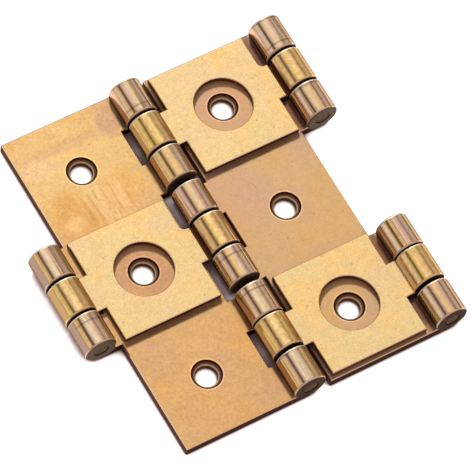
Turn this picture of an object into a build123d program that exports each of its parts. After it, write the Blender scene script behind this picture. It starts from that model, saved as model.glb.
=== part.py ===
"""Double-action screen hinge in drawn brass, lying flat open with its front up.

X runs across the leaves, Y along the pins (+Y is the back) and Z up. The origin is midway between
the leaves and midway along them, on the plane of their backs. All sizes are in millimetres.
"""

import os

from build123d import *

# Leaves and link plates
leaf_length = 60.0
leaf_thickness = 1.75
link_thickness = 1.0
link_length = 18.9
axis_spacing = 26.0  # from the centre pins to either line of outer pins
edge_break = 0.12  # small bevel along the upper edges

# Barrels: the links work in three sections, one behind the other
section_pitch = 20.1
section_gap = 1.1
knuckle_room = 6.9  # between two knuckles of a leaf, for the link's
knuckle_slack = 0.25  # end play on each side of a link's knuckle
knuckle_rounding = 0.45

# Pins
pin_diameter = 2.6
pin_play = 0.04  # radial play in the links' knuckles; the leaves grip the pin
pin_recess = 0.1
pin_bevel = 0.15

# Screw holes, and the larger holes in the links that let the screws through
screw_hole = 3.8
screw_head_rim = 5.1
countersink_angle = 90.0
link_hole = 9.6

# Clearances
link_clearance = 0.05  # between a link and the leaf that it lies on
leaf_inner_gap = 1.0  # from a barrel at the centre to the edge of a leaf
leaf_outer_gap = 1.0  # from an outer barrel to the edge of a leaf
link_end_gap = 1.55  # from a barrel to the edge of a link plate

# The links' right-hand ends: two were cut with a round-nosed tool, which left a groove at the knuckle
notch_radius = 0.9
groove_width = 0.65
groove_depth = 0.5
groove_bite = 0.3  # how far it runs into the knuckle's flank

# How far each link has slid back along its pins, within the end play
slid_back = {"front": 0.2, "middle": 0.0, "back": 0.0}

# What follows from these
barrel_radius = leaf_thickness + link_clearance + link_thickness
axis_height = barrel_radius
pin_radius = pin_diameter / 2
hole_row = axis_spacing / 2
leaf_inner_edge = barrel_radius + leaf_inner_gap
leaf_outer_edge = axis_spacing - barrel_radius - leaf_outer_gap
link_inner_edge = barrel_radius + link_end_gap
link_outer_edge = axis_spacing - link_inner_edge
inner_end = (section_pitch + section_gap) / 2
middle_end = (section_pitch - section_gap) / 2

# Each section: where its barrels start and end along Y, and the middle of its link
sections = {
    "front": (-leaf_length / 2, -inner_end, -section_pitch),
    "middle": (-middle_end, middle_end, 0.0),
    "back": (inner_end, leaf_length / 2, section_pitch),
}


def leaf_knuckles(section):
    """The two spans along Y where a leaf's knuckles hold the pin, either side of the link's."""
    start, end, middle = sections[section]
    half = knuckle_room / 2
    return [(start, middle - half), (middle + half, end)]


def link_middle(section):
    return sections[section][2] + slid_back[section]


def link_knuckle(section):
    """The span along Y of the link's own knuckle."""
    half = knuckle_room / 2 - knuckle_slack
    return (link_middle(section) - half, link_middle(section) + half)


def knuckle_profile(axis_x, start, end):
    """Half the section of a knuckle, with rounded ends, to be turned about the pin's axis."""
    with BuildSketch(Plane(origin=(axis_x, 0, axis_height))) as profile:
        with Locations((0, start)):
            Rectangle(barrel_radius, end - start, align=(Align.MIN, Align.MIN))
        fillet(profile.vertices().group_by(Axis.X)[-1], radius=knuckle_rounding)
    return profile.sketch


def pin_axis(axis_x):
    return Axis((axis_x, 0, axis_height), (0, 1, 0))


def make_leaf(name, side, centre_sections, outer_sections):
    """A leaf to the left (side -1) or right (side 1) of the centre pins."""
    knuckles = [(0.0, leaf_inner_edge, span) for s in centre_sections for span in leaf_knuckles(s)]
    knuckles += [
        (axis_spacing, leaf_outer_edge, span) for s in outer_sections for span in leaf_knuckles(s)
    ]
    with BuildPart() as leaf:
        with BuildSketch():
            with Locations((side * (leaf_inner_edge + leaf_outer_edge) / 2, 0)):
                Rectangle(leaf_outer_edge - leaf_inner_edge, leaf_length)
            for axis, edge, (start, end) in knuckles:
                with Locations((side * (axis + edge) / 2, (start + end) / 2)):
                    Rectangle(abs(axis - edge), end - start)
        extrude(amount=leaf_thickness)
        chamfer(leaf.faces().sort_by(Axis.Z)[-1].edges(), length=edge_break)
        with Locations(Plane.XY.offset(leaf_thickness)):
            with Locations([(side * hole_row, y) for y in (-section_pitch, 0, section_pitch)]):
                CounterSinkHole(
                    radius=screw_hole / 2,
                    counter_sink_radius=screw_head_rim / 2,
                    counter_sink_angle=countersink_angle,
                )
        for axis, edge, (start, end) in knuckles:
            revolve(knuckle_profile(side * axis, start, end), axis=pin_axis(side * axis))
        for axis, edge, (start, end) in knuckles:
            with Locations((side * axis, (start + end) / 2, axis_height)):
                Cylinder(pin_radius, end - start, rotation=(90, 0, 0), mode=Mode.SUBTRACT)
    leaf.part.label = name
    export_step(leaf.part, f"parts/{name}.step")
    return leaf.part


def make_link(name, side, section, grooved):
    """A link plate over the leaf on that side, with a knuckle on the centre pin and one on the outer."""
    start, end = link_knuckle(section)
    middle = link_middle(section)
    right_axis = max(0.0, side * axis_spacing)
    notch_edge = right_axis - link_inner_edge
    with BuildPart() as link:
        with BuildSketch(Plane.XY.offset(leaf_thickness + link_clearance)):
            with Locations((side * hole_row, middle)):
                Rectangle(link_outer_edge - link_inner_edge, link_length)
                Rectangle(axis_spacing - barrel_radius, end - start)
                Circle(link_hole / 2, mode=Mode.SUBTRACT)
        extrude(amount=link_thickness)
        if grooved:
            corner = (notch_edge, end, axis_height)
            fillet(link.edges().filter_by(Axis.Z).sort_by_distance(corner)[0], radius=notch_radius)
        chamfer(link.faces().sort_by(Axis.Z)[-1].edges(), length=edge_break)
        for axis_x in (0.0, side * axis_spacing):
            revolve(knuckle_profile(axis_x, start, end), axis=pin_axis(axis_x))
        if grooved:
            groove_x = right_axis - barrel_radius + groove_bite - groove_width / 2
            with Locations((groove_x, middle, axis_height - groove_depth)):
                Box(
                    groove_width,
                    end - start,
                    groove_depth + barrel_radius,
                    align=(Align.CENTER, Align.CENTER, Align.MIN),
                    mode=Mode.SUBTRACT,
                )
        for axis_x in (0.0, side * axis_spacing):
            with Locations((axis_x, middle, axis_height)):
                Cylinder(
                    pin_radius + pin_play, end - start, rotation=(90, 0, 0), mode=Mode.SUBTRACT
                )
    link.part.label = name
    export_step(link.part, f"parts/{name}.step")
    return link.part


def make_pin(name, axis_x, section):
    """A pin through the three knuckles of a barrel, its bevelled ends a little inside the mouths."""
    start, end, middle = sections[section]
    length = end - start - 2 * pin_recess
    with BuildPart() as pin:
        with Locations((axis_x, (start + end) / 2, axis_height)):
            Cylinder(pin_radius, length, rotation=(90, 0, 0))
        chamfer(pin.edges().filter_by(GeomType.CIRCLE), length=pin_bevel)
    pin.part.label = name
    export_step(pin.part, f"parts/{name}.step")
    return pin.part


os.makedirs("parts", exist_ok=True)

make_leaf("left_leaf", -1, centre_sections=("front", "back"), outer_sections=("middle",))
make_leaf("right_leaf", 1, centre_sections=("middle",), outer_sections=("front", "back"))

make_link("back_link", 1, "back", grooved=True)
make_link("middle_link", -1, "middle", grooved=True)
make_link("front_link", 1, "front", grooved=False)

for section in sections:
    make_pin(f"centre_{section}_pin", 0.0, section)
make_pin("right_back_pin", axis_spacing, "back")
make_pin("left_middle_pin", -axis_spacing, "middle")
make_pin("right_front_pin", axis_spacing, "front")
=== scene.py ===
import math

import bpy
from mathutils import Matrix, Vector


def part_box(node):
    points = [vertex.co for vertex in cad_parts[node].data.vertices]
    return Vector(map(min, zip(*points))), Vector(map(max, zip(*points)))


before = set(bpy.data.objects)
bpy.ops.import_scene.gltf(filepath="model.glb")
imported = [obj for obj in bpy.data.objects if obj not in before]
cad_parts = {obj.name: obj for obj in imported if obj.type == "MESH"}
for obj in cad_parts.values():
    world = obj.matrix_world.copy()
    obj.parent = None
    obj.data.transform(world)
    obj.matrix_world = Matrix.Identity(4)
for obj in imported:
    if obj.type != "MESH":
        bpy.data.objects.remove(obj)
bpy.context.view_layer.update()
print("frame loaded:", ", ".join(sorted(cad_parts)))


# sRGB hex to the linear values that Blender's sockets take
def hexToLinear(hexColour):
    channels = [int(hexColour[i:i + 2], 16) / 255 for i in (1, 3, 5)]
    linear = [c / 12.92 if c <= 0.04045 else ((c + 0.055) / 1.055) ** 2.4 for c in channels]
    return (*linear, 1.0)


# adds one node: settings are its properties, and an input is a number, a hex colour, a socket or a node,
# which then gives its first output in use
def addNode(tree, kind, settings=None, inputs=None):
    node = tree.nodes.new("ShaderNode" + kind)
    for name, value in (settings or {}).items():
        setattr(node, name, value)
    for name, value in (inputs or {}).items():
        if isinstance(value, str):
            value = hexToLinear(value)
        if isinstance(value, bpy.types.Node):
            value = next(output for output in value.outputs if output.enabled)
        if isinstance(value, bpy.types.NodeSocket):
            tree.links.new(value, node.inputs[name])
        else:
            node.inputs[name].default_value = value
    return node


# settings that many nodes share
soft = {"interpolation_type": "SMOOTHSTEP"}
inColour = {"data_type": "RGBA"}
times = {"operation": "MULTIPLY"}
larger = {"operation": "MAXIMUM"}
scaled = {"operation": "SCALE"}
length = {"operation": "LENGTH"}
inFour = {"noise_dimensions": "4D"}


def newTree(name):
    material = bpy.data.materials.new(name)
    material.use_nodes = True
    material.node_tree.nodes.clear()
    return material, material.node_tree


mmPerMetre = 1000.0


# sizes read from the frame, in mm
def middleOf(nodeName, axis):
    low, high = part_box(nodeName)
    return (low[axis] + high[axis]) / 2 * mmPerMetre


barrelRadius = middleOf("centre_middle_pin", 2)  # the barrels stand on the plane of the leaves' backs
axisSpacing = middleOf("right_back_pin", 0)
holePitch = middleOf("back_link", 1)
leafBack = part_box("left_leaf")[0].z
print("barrel radius", round(barrelRadius, 3), "mm, axis spacing", round(axisSpacing, 3), "mm")

# camera: fitted to the photograph, with the slight roll that it was taken with
cameraSetup = {
    "azimuth": -41.21,
    "elevation": 61.72,
    "roll": 12.70,
    "distance": 0.7317,
    "target": (0.003158, -0.000892, 0.00175),
    "lens": 354.15,  # mm, on a sensor this wide
    "sensor": 36.0,
    "clip": (0.01, 20.0),
}


def addCamera(setup):
    azimuth, elevation, roll = (math.radians(setup[k]) for k in ("azimuth", "elevation", "roll"))
    backward = Vector((
        math.sin(azimuth) * math.cos(elevation),
        -math.cos(azimuth) * math.cos(elevation),
        math.sin(elevation),
    ))
    level = Vector((math.cos(azimuth), math.sin(azimuth), 0))
    upward = backward.cross(level)
    rightward = math.cos(roll) * level + math.sin(roll) * upward
    upward = backward.cross(rightward)
    place = Vector(setup["target"]) + backward * setup["distance"]
    data = bpy.data.cameras.new("camera")
    data.lens = setup["lens"]
    data.sensor_width = setup["sensor"]
    data.clip_start, data.clip_end = setup["clip"]
    camera = bpy.data.objects.new("camera", data)
    turn = Matrix((rightward, upward, backward)).transposed().to_4x4()
    camera.matrix_world = Matrix.Translation(place) @ turn
    bpy.context.scene.collection.objects.link(camera)
    bpy.context.scene.camera = camera


addCamera(cameraSetup)
print("camera placed")

# a light tent: bright panels with dark seams that run along the pins, mirrored as lines by the knuckles
tentSetup = {
    "strength": 1.05,
    "dim": 0.40,  # the bands' brightness, overhead and far back, outside their bright stretch
    "front": "#BCA49A",  # plain cloth towards the front, and paler cloth beyond both ends
    "ends": "#CAB4C6",
    # degrees from straight up towards +X, and how bright the tent is there
    "bands": [
        (-100, 0.24), (-88, 0.80), (-72, 1.25), (-60, 1.15), (-50, 0.80), (-44, 0.16), (-40, 0.03),
        (-36, 0.14), (-30, 0.66), (-22, 1.14), (-8, 1.42), (8, 1.16), (20, 1.02), (26, 0.94),
        (35, 0.70), (42, 0.36), (46, 0.44), (51, 0.94), (57, 0.66), (63, 1.10), (70, 0.56),
        (76, 0.64), (84, 0.24), (96, 0.12),
    ],
    "warmth": (1.15, 1.3),  # the darker, the browner
    # how far towards the back the bands begin and end, how far towards the front its cloth begins, and
    # where the pale ends begin
    "bandStart": (0.26, 0.31),
    "bandEnd": (0.46, 0.41),
    "frontStart": (-0.24, -0.08),
    "endStart": (0.72, 0.88),
}


def addTent(setup):
    world = bpy.data.worlds.new("lightTent")
    bpy.context.scene.world = world
    world.use_nodes = True
    tree = world.node_tree
    tree.nodes.clear()
    place = addNode(tree, "TexCoord")
    x, back, z = addNode(tree, "SeparateXYZ", inputs={0: place.outputs["Generated"]}).outputs
    lean = addNode(tree, "Math", {"operation": "ARCTAN2"}, {0: x, 1: z})
    share = addNode(tree, "MapRange", inputs={"Value": lean, "From Min": -math.pi, "From Max": math.pi})
    ramp = addNode(tree, "ValToRGB", inputs={"Fac": share})
    while len(ramp.color_ramp.elements) < len(setup["bands"]):
        ramp.color_ramp.elements.new(0.5)
    for element, (angle, tone) in zip(ramp.color_ramp.elements, setup["bands"]):
        element.position = angle / 360 + 0.5
        element.color = (tone, tone ** setup["warmth"][0], tone ** setup["warmth"][1], 1)
    front = addNode(tree, "Math", times, {0: back, 1: -1.0})
    either = addNode(tree, "Math", {"operation": "ABSOLUTE"}, {0: back})
    steps = {}
    for name, value in (("bandStart", back), ("bandEnd", back), ("frontStart", front), ("endStart", either)):
        low, high = setup[name]
        steps[name] = addNode(tree, "MapRange", soft, {"Value": value, "From Min": low, "From Max": high})
    bright = addNode(tree, "Math", times, {0: steps["bandStart"], 1: steps["bandEnd"]})
    level = addNode(tree, "Math", larger, {0: bright, 1: setup["dim"]})
    tone = addNode(tree, "VectorMath", scaled, {0: ramp.outputs["Color"], "Scale": level})
    tone = addNode(tree, "Mix", inColour, {0: steps["frontStart"], 6: tone, 7: setup["front"]})
    tone = addNode(tree, "Mix", inColour, {0: steps["endStart"], 6: tone, 7: setup["ends"]})
    tent = addNode(tree, "Background", inputs={"Color": tone, "Strength": setup["strength"]})
    white = addNode(tree, "Background", inputs={"Color": "#FFFFFF"})
    ray = addNode(tree, "LightPath")
    pick = addNode(tree, "MixShader", inputs={0: ray.outputs["Is Camera Ray"], 1: tent, 2: white})
    addNode(tree, "OutputWorld", inputs={"Surface": pick})


addTent(tentSetup)

# a bright panel behind and to the right, which casts the short shadows
keyLight = {"direction": (0.235, 0.735, 0.635), "width": 8.0, "strength": 2.38}


def addKeyLight(setup):
    data = bpy.data.lights.new("keyLight", "SUN")
    data.angle = math.radians(setup["width"])
    data.energy = setup["strength"]
    lamp = bpy.data.objects.new("keyLight", data)
    direction = Vector(setup["direction"])
    lamp.rotation_euler = direction.to_track_quat("Z", "Y").to_euler()
    bpy.context.scene.collection.objects.link(lamp)


addKeyLight(keyLight)

# a board with matt white emulsion, rolled: no gloss and no grain to see, and a warm grey where the object
# shades it
floorSetup = {
    "size": 3.0,
    "drop": 0.00003,
    "paint": "#B8A09C",
    "glow": 1.0,  # to the camera and in reflections the board is white
    "shade": "#B8A0A4",
    "skySamples": 16,
    # how far off the object darkens the board, and between which shares of open sky it does so
    "shadows": [(0.0030, 0.26, 0.60), (0.0007, 0.40, 0.80)],
}


def addFloor(setup):
    half = setup["size"] / 2
    height = leafBack - setup["drop"]
    mesh = bpy.data.meshes.new("floor")
    corners = [(-half, -half, height), (half, -half, height), (half, half, height), (-half, half, height)]
    mesh.from_pydata(corners, [], [(0, 1, 2, 3)])
    floor = bpy.data.objects.new("floor", mesh)
    bpy.context.scene.collection.objects.link(floor)
    material, tree = newTree("palePaintedBoard")
    paint = addNode(tree, "BsdfDiffuse", inputs={"Color": setup["paint"]})
    clear = 1.0
    for reach, dark, end in setup["shadows"]:
        sky = addNode(tree, "AmbientOcclusion", {"samples": setup["skySamples"]}, {"Distance": reach})
        share = addNode(tree, "MapRange", soft, {
            "Value": sky.outputs["AO"], "From Min": dark, "From Max": end,
        })
        clear = addNode(tree, "Math", times, {0: share, 1: clear})
    tone = addNode(tree, "Mix", inColour, {0: clear, 6: setup["shade"], 7: "#FFFFFF"})
    strength = addNode(tree, "Math", times, {0: clear, 1: setup["glow"]})
    glow = addNode(tree, "Emission", inputs={"Color": tone, "Strength": strength})
    both = addNode(tree, "AddShader", inputs={0: paint, 1: glow})
    ray = addNode(tree, "LightPath")
    seen = ray.outputs["Is Camera Ray"]
    for kind in ("Is Glossy Ray", "Is Transmission Ray"):
        seen = addNode(tree, "Math", larger, {0: seen, 1: ray.outputs[kind]})
    pick = addNode(tree, "MixShader", inputs={0: seen, 1: paint, 2: both})
    addNode(tree, "OutputMaterial", inputs={"Surface": pick})
    mesh.materials.append(material)


addFloor(floorSetup)
print("light tent, key light and floor ready")

# brass knuckles, drawn and then turned, years old: still a mirror, but broken by fine lines along and round
# each one; painted shade darkens their flanks and grooves, a painted highlight lightens their left flanks,
# and their ends are dull, with a painted highlight on the round ends and painted shade on the end faces
leafKnuckles = {
    "brass": "#D2B694",
    "pinkStreaks": "#CBA48C",
    "goldStreaks": "#D2AC72",
    # painted highlight on the left flank and the round ends; painted shade on the right, outer and under
    # flanks and on the end faces, a little lighter in the gaps between sections
    "leftFlankHighlight": "#DEC4A4",
    "rightFlankShade": "#A88E7C",
    "outerFlankShade": "#A08A7A",  # the flanks that face away from the hinge, darkened as painted shade
    "underFlankShade": "#74503F",
    "round": "#E8D6BE",  # the round ends, rubbed matt
    "end": "#483F38",
    "gapEndShade": "#6E6256",  # the ends in the gaps between sections
    "lines": 0.5,  # how dark the drawn lines are
    "mottle": 0.08,
    "satin": 0.25,  # how much satin lies over the polish
}
linkKnuckles = {
    "brass": "#DDB97E",
    "pinkStreaks": "#D4AB74",
    "goldStreaks": "#DCB76C",
    # painted highlight on the left flank and the round ends; painted shade on the right, outer and under
    # flanks and on the end faces, a little lighter in the gaps between sections
    "leftFlankHighlight": "#FFF0D0",
    "rightFlankShade": "#B89468",
    "outerFlankShade": "#B89A6C",
    "underFlankShade": "#8A6844",
    "round": "#F2DEB6",
    "end": "#564838",
    "gapEndShade": "#6E6256",
    "lines": 0.25,
    "mottle": 0.15,
    "satin": 0.40,
}


# painted shade in a strip beside a barrel of the back section, and one in the front section
def paintedShadeStrips(out, reach, strength, colour):
    return [
        {"at": (out, back), "reach": reach, "strength": strength, "colour": colour}
        for back in (holePitch, -holePitch)
    ]


# brass sheet, pressed and rubbed satin: no image in it, only a soft glow, mottled rosy and gold; real rubbing
# marks are finer than a pixel, so the grain is drawn as coarse as it needs to show
leftLeaf = {
    "rosy": "#D0A975",
    "pink": "#CBA57A",
    "amber": "#D2A769",
    # the walls' tones, darker on walls facing the front, and the back bevels' tone are painted shade; the
    # front bevels' tone is wear with a painted highlight; the wall tone also colours the turned rings
    "edge": "#62483E",
    "frontWallShade": "#3E2E2A",
    "bevel": "#F4DCB8",
    "shadedBackBevel": "#A07C58",
    "mottle": 0.09,
    "blotchSize": 9.0,  # mm
    "grainSize": 0.4,
    "knuckles": leafKnuckles,
    # lines turned round the knuckles: which pins they are on, and how far back, in mm
    "rings": [(0, 24.9), (0, 29.6), (0, -24.0), (0, -12.0), (-1, -5.05)],
    # stains where water stood and ran, some under the links, and painted shade: a painted shadow in front of
    # a link's front edge and strips beside the barrels; middle and reach in mm, with uneven edges; runs are
    # drips
    "stainsAndShade": [
        {"at": (-13.0, 20.5), "reach": (13.0, 10.5), "strength": 0.9, "colour": "#D9BA80"},
        {"at": (-13.0, 25.4), "reach": (9.0, 1.0), "strength": 0.35, "colour": "#C39A76"},
        {"at": (-19.0, 23.4), "reach": (3.0, 2.0), "strength": 0.5, "colour": "#DCBE98"},
        {"at": (-4.8, 26.4), "reach": (1.7, 3.2), "strength": 0.6, "colour": "#C29A80"},
        {"at": (-17.6, 13.8), "reach": (3.6, 4.2), "strength": 0.7, "colour": "#CE9E5C"},
        {"at": (-18.6, 12.0), "reach": (1.6, 1.5), "strength": 0.5, "colour": "#E6C890"},
        {"at": (-8.6, 15.0), "reach": (3.6, 3.0), "strength": 0.5, "colour": "#D6A864"},
        {"at": (-12.0, 13.2), "reach": (2.6, 2.2), "strength": 0.28, "colour": "#B8844C", "runs": 7.0},
        {"at": (-12.4, 13.4), "reach": (2.8, 2.4), "strength": 0.28, "colour": "#EACF9E", "runs": -7.0},
        {"at": (-axisSpacing / 2, 0.0), "reach": (4.5, 4.5), "strength": 0.8, "colour": "#BE9474"},
        # painted shadow cast forward by the middle link's front edge
        {"at": (-axisSpacing / 2, -10.0), "reach": (9.4, 0.45), "strength": 0.7, "colour": "#80604A"},
        # painted shade beside the centre barrel
        *paintedShadeStrips(-2.9, (0.5, 9.0), 0.7, "#7A5040"),
    ],
}
rightLeaf = {
    "rosy": "#C9A87C",
    "pink": "#C4A484",
    "amber": "#CBA772",
    # the walls' tones, darker on walls facing the front, and the back bevels' tone are painted shade; the
    # front bevels' tone is wear with a painted highlight; the wall tone also colours the turned rings
    "edge": "#62483E",
    "frontWallShade": "#3E2E2A",
    "bevel": "#F0D8B8",
    "shadedBackBevel": "#A07C58",
    "mottle": 0.05,
    "blotchSize": 9.0,
    "grainSize": 0.4,
    "knuckles": leafKnuckles,
    "rings": [(0, -5.1), (1, 24.8), (1, 29.5), (1, 16.0)],
    "stainsAndShade": [
        {"at": (6.0, 5.0), "reach": (5.0, 6.0), "strength": 0.6, "colour": "#C9A284"},
        {"at": (17.0, -6.0), "reach": (6.0, 3.5), "strength": 0.6, "colour": "#D0A86E"},
        {"at": (axisSpacing / 2, holePitch), "reach": (4.5, 4.5), "strength": 0.8, "colour": "#C69E7E"},
        # painted shadow cast forward by the back link's front edge
        {"at": (axisSpacing / 2, 10.1), "reach": (9.4, 0.45), "strength": 0.7, "colour": "#80604A"},
        # painted shade beside the right-hand barrels and the centre barrel
        *paintedShadeStrips(22.6, (1.1, 11.0), 0.85, "#70443A"),
        *paintedShadeStrips(3.9, (0.5, 8.0), 0.85, "#74483A"),
    ],
}
# the links' sheet is a yellower brass: a pale even gold
links = {
    "rosy": "#DAC48E",
    "pink": "#DAC192",
    "amber": "#E0C184",
    # the walls' tones, darker on walls facing the front, and the back bevels' tone are painted shade; the
    # front bevels' tone is wear with a painted highlight
    "edge": "#8C6248",
    "frontWallShade": "#70503E",
    "bevel": "#FFF2CC",
    "shadedBackBevel": "#A8855C",
    "mottle": 0.11,
    "blotchSize": 7.0,
    "grainSize": 0.28,
    "knuckles": linkKnuckles,
    "rings": [],
    "stainsAndShade": [],
}
# the same for all three; sizes in mm
brassWork = {
    "plateRoughness": 0.66,
    "polish": 0.115,
    "knuckleRoughness": 0.42,
    "grazing": "#D2C6BC",  # tarnish keeps the metal from glinting white at low angles
    "bumpDepth": 0.000012,  # metres
    "grainBump": 0.35,  # the plates' share of that depth, and the finest lines' on the knuckles
    "fineBump": 0.25,
    "mottleShares": (0.8, 0.4),  # of the fine and of the coarse grain
    "coarserBy": 3.0,
    "pitSize": 0.45,
    "pitShade": 0.76,
    "markUneven": 3.0,
    "markHeight": 1000.0,  # it is the same at any height
    "markRagged": 1.6,  # how far its edge wanders, and between which reaches it fades
    "markFade": (2.3, 1.3),
    "runWide": 0.7,
    "runRatio": 0.1,
    "ringWidth": 0.35,
    "ringReach": 1.0,  # from its line of pins
    "ringShade": 0.45,
    "mottleSize": 0.6,  # on the knuckles
    "streakWide": 1.3,  # round the knuckle
    "streakFine": 0.3,
    "streakRatio": 0.02,
    "streakShift": 0.9,  # sets each barrel's streaks apart
    "skin": (0.06, 0.01),  # how far outside a barrel the knuckles' finish gives way to the plates'
    "gapReach": 0.8,  # from the middle of a gap between sections
    "grooveTop": (2.6, 2.5),  # how high the floors of the grooves beside the knuckles lie
    "grooveFoot": (1.9, 2.0),
    # shares of facing up, back or along the pins at which each begins and is whole
    "wall": (0.4, 0.2),
    "shinyBevel": (0.5, -0.2),
    "frontWall": (-0.6, -0.9),
    "straight": (0.15, 0.05),
    "polished": (0.22, 0.04),
    "bevelUp": math.sqrt(0.5),
    "bevelSpread": 0.12,
}
# where on a knuckle each colour begins and is whole: radians round from the top, mm out from the outer pins,
# mm under the barrel's surface, and shares of facing along the pins
knuckleZones = {
    "leftFlankHighlight": (-0.9, -1.3),
    "rightFlankShade": (0.7, 1.0),
    "outerFlankShade": (1.9, 2.4),
    "underFlankShade": (1.4, 1.65),
    "round": (0.06, 0.3),
    "groove": (0.02, 0.06),
    "end": (0.45, 0.85),
    "gapEndShade": (0.45, 0.85),
}
# each countersunk screw hole, from a painted highlight round the rim down through painted shade to the bore:
# mm from its middle
screwHole = {
    "ring": (2.85, 2.65),
    "rim": (2.56, 2.53),
    "cone": (2.40, 2.10),
    "bore": (2.06, 2.00),
    "boreFloor": (0.98, 0.88),  # and up from the leaf's back
    "ringHighlight": 1.3,
    "rimShade": "#3A221C",
    "coneShade": "#94765A",
    "edgeColour": "#DCC09A",
    "boreShade": "#5A4234",
    "turnedPitch": 0.22,  # coarser than the real tool marks, to show
    "turnedShade": (0.75, 1.1),
}
# brass rod, sawn off and left: no shine at all, dull brown darkened as painted shade, with pale patches and
# faint rings
pinBrass = {
    "colour": "#4E4238",
    "pale": "#6E5E4E",
    "roughness": 0.5,
    "turnedPitch": 0.25,  # mm
    "turnedDepth": 0.08,
    "patches": 0.8,
    "patchEdge": (0.4, 0.7),
}


# where a point lies: mm from the part's origin, mm out from the nearest line of pins, how far round it from
# the top towards +X, mm from the nearest screw hole's middle, and which way its surface faces
def addPlace(tree):
    coordinates = addNode(tree, "TexCoord")
    mm = addNode(tree, "VectorMath", scaled, {0: coordinates.outputs["Object"], "Scale": mmPerMetre})
    x, y, z = addNode(tree, "SeparateXYZ", inputs={0: mm}).outputs
    across = addNode(tree, "Math", {"operation": "WRAP"}, {0: x, 1: axisSpacing / 2, 2: -axisSpacing / 2})
    above = addNode(tree, "Math", {"operation": "SUBTRACT"}, {0: z, 1: barrelRadius})
    flat = addNode(tree, "CombineXYZ", inputs={"X": across, "Y": above})
    outward = addNode(tree, "Math", {"operation": "ABSOLUTE"}, {0: x})
    beside = addNode(tree, "Math", {"operation": "SUBTRACT"}, {0: outward, 1: axisSpacing / 2})
    behind = addNode(tree, "Math", {"operation": "PINGPONG"}, {0: y, 1: holePitch / 2})
    hole = addNode(tree, "CombineXYZ", inputs={"X": beside, "Y": behind})
    facing = addNode(tree, "SeparateXYZ", inputs={0: coordinates.outputs["Normal"]})
    return {
        "mm": mm, "x": x, "y": y, "z": z, "outward": outward,
        "reach": addNode(tree, "VectorMath", length, {0: flat}),
        "angle": addNode(tree, "Math", {"operation": "ARCTAN2"}, {0: across, 1: above}),
        "fromHole": addNode(tree, "VectorMath", length, {0: hole}),
        "up": addNode(tree, "Math", {"operation": "ABSOLUTE"}, {0: facing.outputs["Z"]}),
        "toBack": facing.outputs["Y"],
        "endOn": addNode(tree, "Math", {"operation": "ABSOLUTE"}, {0: facing.outputs["Y"]}),
    }


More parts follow.
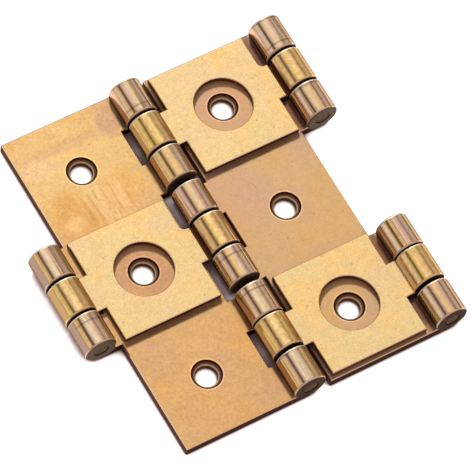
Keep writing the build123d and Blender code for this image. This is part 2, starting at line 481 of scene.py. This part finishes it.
# blotches a few mm wide, stains and strips of painted shade, a fine grain with pits, walls and groove floors
# darkened as painted shade, and worn bevels with a painted highlight at the front and painted shade at the
# back
def plateColour(tree, place, plate):
    noises = {}
    for name, size, detail, seed in (
        ("warm", plate["blotchSize"], 4.0, 0.0),
        ("cool", plate["blotchSize"], 5.0, 7.0),
        ("uneven", brassWork["markUneven"], 6.0, 2.0),
        ("grain", plate["grainSize"], 3.0, 0.0),
        ("coarse", plate["grainSize"] * brassWork["coarserBy"], 3.0, 5.0),
        ("pits", brassWork["pitSize"], 1.0, 3.0),
    ):
        noises[name] = addNode(tree, "TexNoise", inFour, {
            "Vector": place["mm"], "W": seed, "Scale": 1 / size, "Detail": detail,
        })
    run = addNode(tree, "VectorMath", {"operation": "MULTIPLY"}, {
        0: place["mm"], 1: (1.0, brassWork["runRatio"], 1.0),
    })
    runs = addNode(tree, "TexNoise", inFour, {
        "Vector": run, "W": 6.0, "Scale": 1 / brassWork["runWide"], "Detail": 2.0,
    })
    layers = [
        (noises["warm"], 0.42, 0.62, 1.0, plate["amber"]),
        (noises["cool"], 0.45, 0.65, 1.0, plate["pink"]),
    ]
    # stains, and strips of painted shade and painted shadow
    for mark in plate["stainsAndShade"]:
        offset = addNode(tree, "VectorMath", {"operation": "SUBTRACT"}, {
            0: place["mm"], 1: (*mark["at"], 0.0),
        })
        spread = addNode(tree, "VectorMath", {"operation": "DIVIDE"}, {
            0: offset, 1: (*mark["reach"], brassWork["markHeight"]),
        })
        spread = addNode(tree, "VectorMath", length, {0: spread})
        spread = addNode(tree, "Math", {"operation": "MULTIPLY_ADD"}, {
            0: noises["uneven"], 1: brassWork["markRagged"], 2: spread,
        })
        if "runs" in mark:
            lift = addNode(tree, "Math", {"operation": "SUBTRACT"}, {0: runs, 1: 0.5})
            spread = addNode(tree, "Math", {"operation": "MULTIPLY_ADD"}, {
                0: lift, 1: mark["runs"], 2: spread,
            })
        layers.append((spread, *brassWork["markFade"], mark["strength"], mark["colour"]))
    colour = plate["rosy"]
    for value, low, high, strength, paint in layers:
        share = addNode(tree, "MapRange", soft, {
            "Value": value, "From Min": low, "From Max": high, "To Max": strength,
        })
        colour = addNode(tree, "Mix", inColour, {0: share, 6: colour, 7: paint})
    fine, coarse = (plate["mottle"] * share for share in brassWork["mottleShares"])
    for name, low, high, dark, bright in (
        ("grain", 0.3, 0.7, 1 - fine, 1 + fine),
        ("coarse", 0.3, 0.7, 1 - coarse, 1 + coarse),
        ("pits", 0.68, 0.74, 1.0, brassWork["pitShade"]),
    ):
        shade = addNode(tree, "MapRange", soft, {
            "Value": noises[name], "From Min": low, "From Max": high, "To Min": dark, "To Max": bright,
        })
        colour = addNode(tree, "VectorMath", scaled, {0: colour, "Scale": shade})
    steps = {}
    for name, value in (
        ("grooveTop", place["z"]), ("grooveFoot", place["z"]), ("wall", place["up"]),
        ("shinyBevel", place["toBack"]), ("frontWall", place["toBack"]),
    ):
        low, high = brassWork[name]
        steps[name] = addNode(tree, "MapRange", soft, {"Value": value, "From Min": low, "From Max": high})
    groove = addNode(tree, "Math", times, {0: steps["grooveTop"], 1: steps["grooveFoot"]})
    slanted = addNode(tree, "Math", {"operation": "COMPARE"}, {
        0: place["up"], 1: brassWork["bevelUp"], 2: brassWork["bevelSpread"],
    })
    outside = addNode(tree, "MapRange", soft, {
        "Value": place["fromHole"], "From Min": screwHole["rim"][0], "From Max": screwHole["ring"][1],
    })
    slanted = addNode(tree, "Math", times, {0: slanted, 1: outside})
    bevel = addNode(tree, "Math", times, {0: slanted, 1: steps["shinyBevel"]})
    shadedBackBevel = addNode(tree, "Math", {"operation": "SUBTRACT"}, {0: slanted, 1: bevel})
    # groove floors and walls get painted shade, darker on walls facing the front; front bevels get a painted
    # highlight over their wear, back bevels get painted shade
    for share, paint in (
        (groove, plate["edge"]), (steps["wall"], plate["edge"]), (steps["frontWall"], plate["frontWallShade"]),
        (bevel, plate["bevel"]), (shadedBackBevel, plate["shadedBackBevel"]),
    ):
        colour = addNode(tree, "Mix", inColour, {0: share, 6: colour, 7: paint})
    return colour, noises["grain"], bevel


# countersinks: a painted highlight round the rim, painted shade just inside it, a less dark painted shade
# below it with turned lines, a painted highlight at the bore's edge and painted shade down the bore
def holeColour(tree, place, colour):
    steps = {}
    for name, value in (
        ("ring", place["fromHole"]), ("rim", place["fromHole"]), ("cone", place["fromHole"]),
        ("bore", place["fromHole"]), ("boreFloor", place["z"]),
    ):
        low, high = screwHole[name]
        steps[name] = addNode(tree, "MapRange", soft, {"Value": value, "From Min": low, "From Max": high})
    paintedHighlight = addNode(tree, "MapRange", inputs={
        "Value": steps["ring"], "To Min": 1.0, "To Max": screwHole["ringHighlight"],
    })
    colour = addNode(tree, "VectorMath", scaled, {0: colour, "Scale": paintedHighlight})
    wave = addNode(tree, "Math", times, {0: place["fromHole"], 1: 2 * math.pi / screwHole["turnedPitch"]})
    wave = addNode(tree, "Math", {"operation": "SINE"}, {0: wave})
    dark, bright = screwHole["turnedShade"]
    lines = addNode(tree, "MapRange", inputs={
        "Value": wave, "From Min": -1.0, "From Max": 1.0, "To Min": dark, "To Max": bright,
    })
    wall = addNode(tree, "Mix", inColour, {
        0: steps["cone"], 6: screwHole["rimShade"], 7: screwHole["coneShade"],
    })
    wall = addNode(tree, "VectorMath", scaled, {0: wall, "Scale": lines})
    wall = addNode(tree, "Mix", inColour, {0: steps["bore"], 6: wall, 7: screwHole["edgeColour"]})
    wall = addNode(tree, "Mix", inColour, {0: steps["boreFloor"], 6: wall, 7: screwHole["boreShade"]})
    return addNode(tree, "Mix", inColour, {0: steps["rim"], 6: colour, 7: wall})


# lines drawn along each knuckle, lines turned round it, painted shade on the flanks, in the grooves and on
# the end faces, and a painted highlight on the left flanks and the worn round ends
def knuckleColour(tree, place, piece):
    finish = piece["knuckles"]
    arc = addNode(tree, "Math", times, {0: place["angle"], 1: barrelRadius})
    along = addNode(tree, "Math", times, {0: place["y"], 1: brassWork["streakRatio"]})
    nearest = {}
    for name, value, pitch in (("pins", place["x"], axisSpacing), ("section", place["y"], holePitch)):
        shifted = addNode(tree, "Math", {"operation": "ADD"}, {0: value, 1: pitch / 2})
        nearest[name] = addNode(tree, "Math", {"operation": "SNAP"}, {0: shifted, 1: pitch})
    which = addNode(tree, "Math", {"operation": "MULTIPLY_ADD"}, {
        0: nearest["pins"], 1: brassWork["streakShift"], 2: nearest["section"],
    })
    drawn = addNode(tree, "CombineXYZ", inputs={"X": arc, "Y": along, "Z": which})
    noises = {}
    for name, vector, size, detail, seed in (
        ("broad", drawn, brassWork["streakWide"], 1.0, 0.0),
        ("gold", drawn, brassWork["streakWide"], 1.0, 9.0),
        ("fine", drawn, brassWork["streakFine"], 1.0, 4.0),
        ("mottle", place["mm"], brassWork["mottleSize"], 2.0, 0.0),
    ):
        noises[name] = addNode(tree, "TexNoise", inFour, {
            "Vector": vector, "W": seed, "Scale": 1 / size, "Detail": detail,
        })
    colour = finish["brass"]
    for name, low, high, paint in (
        ("broad", 0.42, 0.58, finish["pinkStreaks"]),
        ("gold", 0.52, 0.62, finish["goldStreaks"]),
    ):
        share = addNode(tree, "MapRange", soft, {"Value": noises[name], "From Min": low, "From Max": high})
        colour = addNode(tree, "Mix", inColour, {0: share, 6: colour, 7: paint})
    for name, low, high, dark, bright in (
        ("fine", 0.60, 0.70, 1.0, 1 - finish["lines"]),
        ("mottle", 0.3, 0.7, 1 - finish["mottle"], 1 + finish["mottle"]),
    ):
        shade = addNode(tree, "MapRange", soft, {
            "Value": noises[name], "From Min": low, "From Max": high, "To Min": dark, "To Max": bright,
        })
        colour = addNode(tree, "VectorMath", scaled, {0: colour, "Scale": shade})
    for pins, back in piece["rings"]:
        onPins = addNode(tree, "Math", {"operation": "COMPARE"}, {
            0: nearest["pins"], 1: pins * axisSpacing, 2: brassWork["ringReach"],
        })
        onRing = addNode(tree, "Math", {"operation": "COMPARE"}, {
            0: place["y"], 1: back, 2: brassWork["ringWidth"] / 2,
        })
        ring = addNode(tree, "Math", times, {0: onPins, 1: onRing})
        ring = addNode(tree, "Math", times, {0: ring, 1: brassWork["ringShade"]})
        colour = addNode(tree, "Mix", inColour, {0: ring, 6: colour, 7: piece["edge"]})
    low, high = brassWork["straight"]
    straight = addNode(tree, "MapRange", soft, {
        "Value": place["endOn"], "From Min": low, "From Max": high,
    })
    sunk = addNode(tree, "Math", {"operation": "SUBTRACT"}, {0: barrelRadius, 1: place["reach"]})
    sunk = addNode(tree, "Math", times, {0: sunk, 1: straight})
    beyond = addNode(tree, "Math", {"operation": "SUBTRACT"}, {0: place["outward"], 1: axisSpacing})
    steepness = addNode(tree, "Math", {"operation": "ABSOLUTE"}, {0: place["angle"]})
    fromMiddle = addNode(tree, "Math", {"operation": "ABSOLUTE"}, {0: place["y"]})
    inGap = addNode(tree, "Math", {"operation": "COMPARE"}, {
        0: fromMiddle, 1: holePitch / 2, 2: brassWork["gapReach"],
    })
    inGap = addNode(tree, "Math", times, {0: inGap, 1: place["endOn"]})
    # painted highlight on the left flanks and round ends; painted shade on the other flanks, in the grooves
    # beside the knuckles and on the end faces
    for value, zone, paint in (
        (place["angle"], "leftFlankHighlight", finish["leftFlankHighlight"]),
        (place["angle"], "rightFlankShade", finish["rightFlankShade"]),
        (beyond, "outerFlankShade", finish["outerFlankShade"]),
        (steepness, "underFlankShade", finish["underFlankShade"]),
        (place["endOn"], "round", finish["round"]),
        (sunk, "groove", piece["edge"]),
        (place["endOn"], "end", finish["end"]),
        (inGap, "gapEndShade", finish["gapEndShade"]),
    ):
        low, high = knuckleZones[zone]
        share = addNode(tree, "MapRange", soft, {"Value": value, "From Min": low, "From Max": high})
        colour = addNode(tree, "Mix", inColour, {0: share, 6: colour, 7: paint})
    height = addNode(tree, "Math", {"operation": "MULTIPLY_ADD"}, {
        0: noises["fine"], 1: brassWork["fineBump"], 2: noises["broad"],
    })
    return colour, height


def makeBrass(name, piece):
    material, tree = newTree(name)
    place = addPlace(tree)
    outer, inner = brassWork["skin"]
    knuckle = addNode(tree, "MapRange", soft, {
        "Value": place["reach"], "From Min": barrelRadius + outer, "From Max": barrelRadius + inner,
    })
    plate, grain, bevel = plateColour(tree, place, piece)
    plate = holeColour(tree, place, plate)
    barrel, drawn = knuckleColour(tree, place, piece)
    colour = addNode(tree, "Mix", inColour, {0: knuckle, 6: plate, 7: barrel})
    rubbed = addNode(tree, "Math", times, {0: grain, 1: brassWork["grainBump"]})
    height = addNode(tree, "Mix", {"data_type": "FLOAT"}, {0: knuckle, 2: rubbed, 3: drawn})
    bump = addNode(tree, "Bump", inputs={
        "Height": height, "Distance": brassWork["bumpDepth"], "Strength": 1.0,
    })
    low, high = brassWork["polished"]
    straight = addNode(tree, "MapRange", soft, {
        "Value": place["endOn"], "From Min": low, "From Max": high,
    })
    polished = addNode(tree, "Math", times, {0: knuckle, 1: straight})
    polished = addNode(tree, "Math", larger, {0: polished, 1: bevel})
    satin = addNode(tree, "MapRange", inputs={
        "Value": polished, "To Min": brassWork["plateRoughness"], "To Max": brassWork["knuckleRoughness"],
    })
    share = addNode(tree, "MapRange", inputs={
        "Value": polished, "To Min": 1.0, "To Max": piece["knuckles"]["satin"],
    })
    metals = []
    for roughness in (brassWork["polish"], satin):
        metals.append(addNode(tree, "BsdfPrincipled", inputs={
            "Base Color": colour, "Metallic": 1.0, "Roughness": roughness, "Normal": bump,
            "Specular Tint": brassWork["grazing"],
        }))
    both = addNode(tree, "MixShader", inputs={0: share, 1: metals[0], 2: metals[1]})
    addNode(tree, "OutputMaterial", inputs={"Surface": both})
    return material


def makePinBrass(finish):
    material, tree = newTree("dullBrassPin")
    place = addPlace(tree)
    wave = addNode(tree, "Math", times, {0: place["reach"], 1: 2 * math.pi / finish["turnedPitch"]})
    wave = addNode(tree, "Math", {"operation": "SINE"}, {0: wave})
    patches = addNode(tree, "TexNoise", inFour, {
        "Vector": place["mm"], "Scale": 1 / finish["patches"], "Detail": 3.0,
    })
    mixed = addNode(tree, "Math", {"operation": "MULTIPLY_ADD"}, {
        0: wave, 1: finish["turnedDepth"], 2: patches,
    })
    low, high = finish["patchEdge"]
    share = addNode(tree, "MapRange", soft, {"Value": mixed, "From Min": low, "From Max": high})
    colour = addNode(tree, "Mix", inColour, {0: share, 6: finish["colour"], 7: finish["pale"]})
    metal = addNode(tree, "BsdfPrincipled", inputs={
        "Base Color": colour, "Metallic": 1.0, "Roughness": finish["roughness"],
        "Specular Tint": brassWork["grazing"],
    })
    addNode(tree, "OutputMaterial", inputs={"Surface": metal})
    return material


def dress(nodeName, material):
    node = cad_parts[nodeName]
    node.data.materials.clear()
    node.data.materials.append(material)


dress("left_leaf", makeBrass("stainedLeafBrass", leftLeaf))
dress("right_leaf", makeBrass("satinLeafBrass", rightLeaf))
linkMaterial = makeBrass("satinLinkBrass", links)
pinMaterial = makePinBrass(pinBrass)
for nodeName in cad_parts:
    if nodeName.endswith("link"):
        dress(nodeName, linkMaterial)
    elif nodeName.endswith("pin"):
        dress(nodeName, pinMaterial)
print("brass finishes assigned")

bpy.context.scene.view_settings.view_transform = "Standard"
